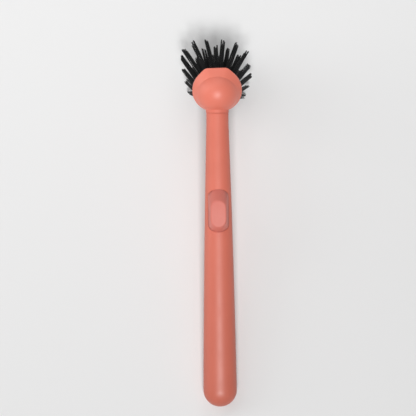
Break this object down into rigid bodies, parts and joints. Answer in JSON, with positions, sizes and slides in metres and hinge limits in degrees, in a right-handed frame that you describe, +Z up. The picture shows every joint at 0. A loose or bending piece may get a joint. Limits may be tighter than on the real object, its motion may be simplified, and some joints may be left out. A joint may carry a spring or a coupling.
{
  "type": "magnetic dish brush",
  "caption": "Long-handled dish brush with a pull-off ball head, straight scraping edge, fanned bristle tufts and a raised magnet boss on the handle's back.",
  "frame": {"origin": "on the ground, under the middle of the box of the brush as it lies on its butt and its lowest bristle tips", "axes": "+Y along the brush from the round butt towards the head, +Z up, +X to the right of someone looking from the butt to the head; the handle's own axis climbs about 8 degrees from the butt to the head"},
  "size_m": [0.0544, 0.2788, 0.0584],
  "materials": {
    "coral_plastic": "fine satin moulding",
    "coral_cap": "soft matte moulding, slightly pinker",
    "liner_plastic": "natural moulded plastic",
    "seal_silicone": "smooth silicone",
    "block_plastic": "plain moulded plastic",
    "black_nylon": "drawn nylon filament",
    "yoke_steel": "plain pressed steel",
    "magnet_nickel": "nickel plate"
  },
  "bodies": {
    "handle": {"handle_shell": "coral_plastic", "neck_sleeve": "liner_plastic", "magnet_tray": "liner_plastic", "magnet_yoke": "yoke_steel", "magnet_neck_side": "magnet_nickel", "magnet_butt_side": "magnet_nickel", "magnet_cap": "coral_cap"},
    "head": {"head_shell": "coral_plastic", "stem_seal": "seal_silicone", "tuft_block": "block_plastic", "centre_tuft": "black_nylon", "inner_tuft_01": "black_nylon", "inner_tuft_02": "black_nylon", "inner_tuft_03": "black_nylon", "inner_tuft_04": "black_nylon", "inner_tuft_05": "black_nylon", "inner_tuft_06": "black_nylon", "middle_tuft_01": "black_nylon", "middle_tuft_02": "black_nylon", "middle_tuft_03": "black_nylon", "middle_tuft_04": "black_nylon", "middle_tuft_05": "black_nylon", "middle_tuft_06": "black_nylon", "middle_tuft_07": "black_nylon", "middle_tuft_08": "black_nylon", "middle_tuft_09": "black_nylon", "middle_tuft_10": "black_nylon", "middle_tuft_11": "black_nylon", "middle_tuft_12": "black_nylon", "outer_tuft_01": "black_nylon", "outer_tuft_02": "black_nylon", "outer_tuft_03": "black_nylon", "outer_tuft_04": "black_nylon", "outer_tuft_05": "black_nylon", "outer_tuft_06": "black_nylon", "outer_tuft_07": "black_nylon", "outer_tuft_08": "black_nylon", "outer_tuft_09": "black_nylon", "outer_tuft_10": "black_nylon", "outer_tuft_11": "black_nylon", "outer_tuft_12": "black_nylon", "outer_tuft_13": "black_nylon", "outer_tuft_14": "black_nylon", "outer_tuft_15": "black_nylon", "outer_tuft_16": "black_nylon", "outer_tuft_17": "black_nylon", "outer_tuft_18": "black_nylon"}
  },
  "joints": [
    {"name": "head_pull", "type": "slide", "parent": "handle", "child": "head", "axis": [0, 0.99, 0.1409], "range_m": [0, 0.02]}
  ]
}
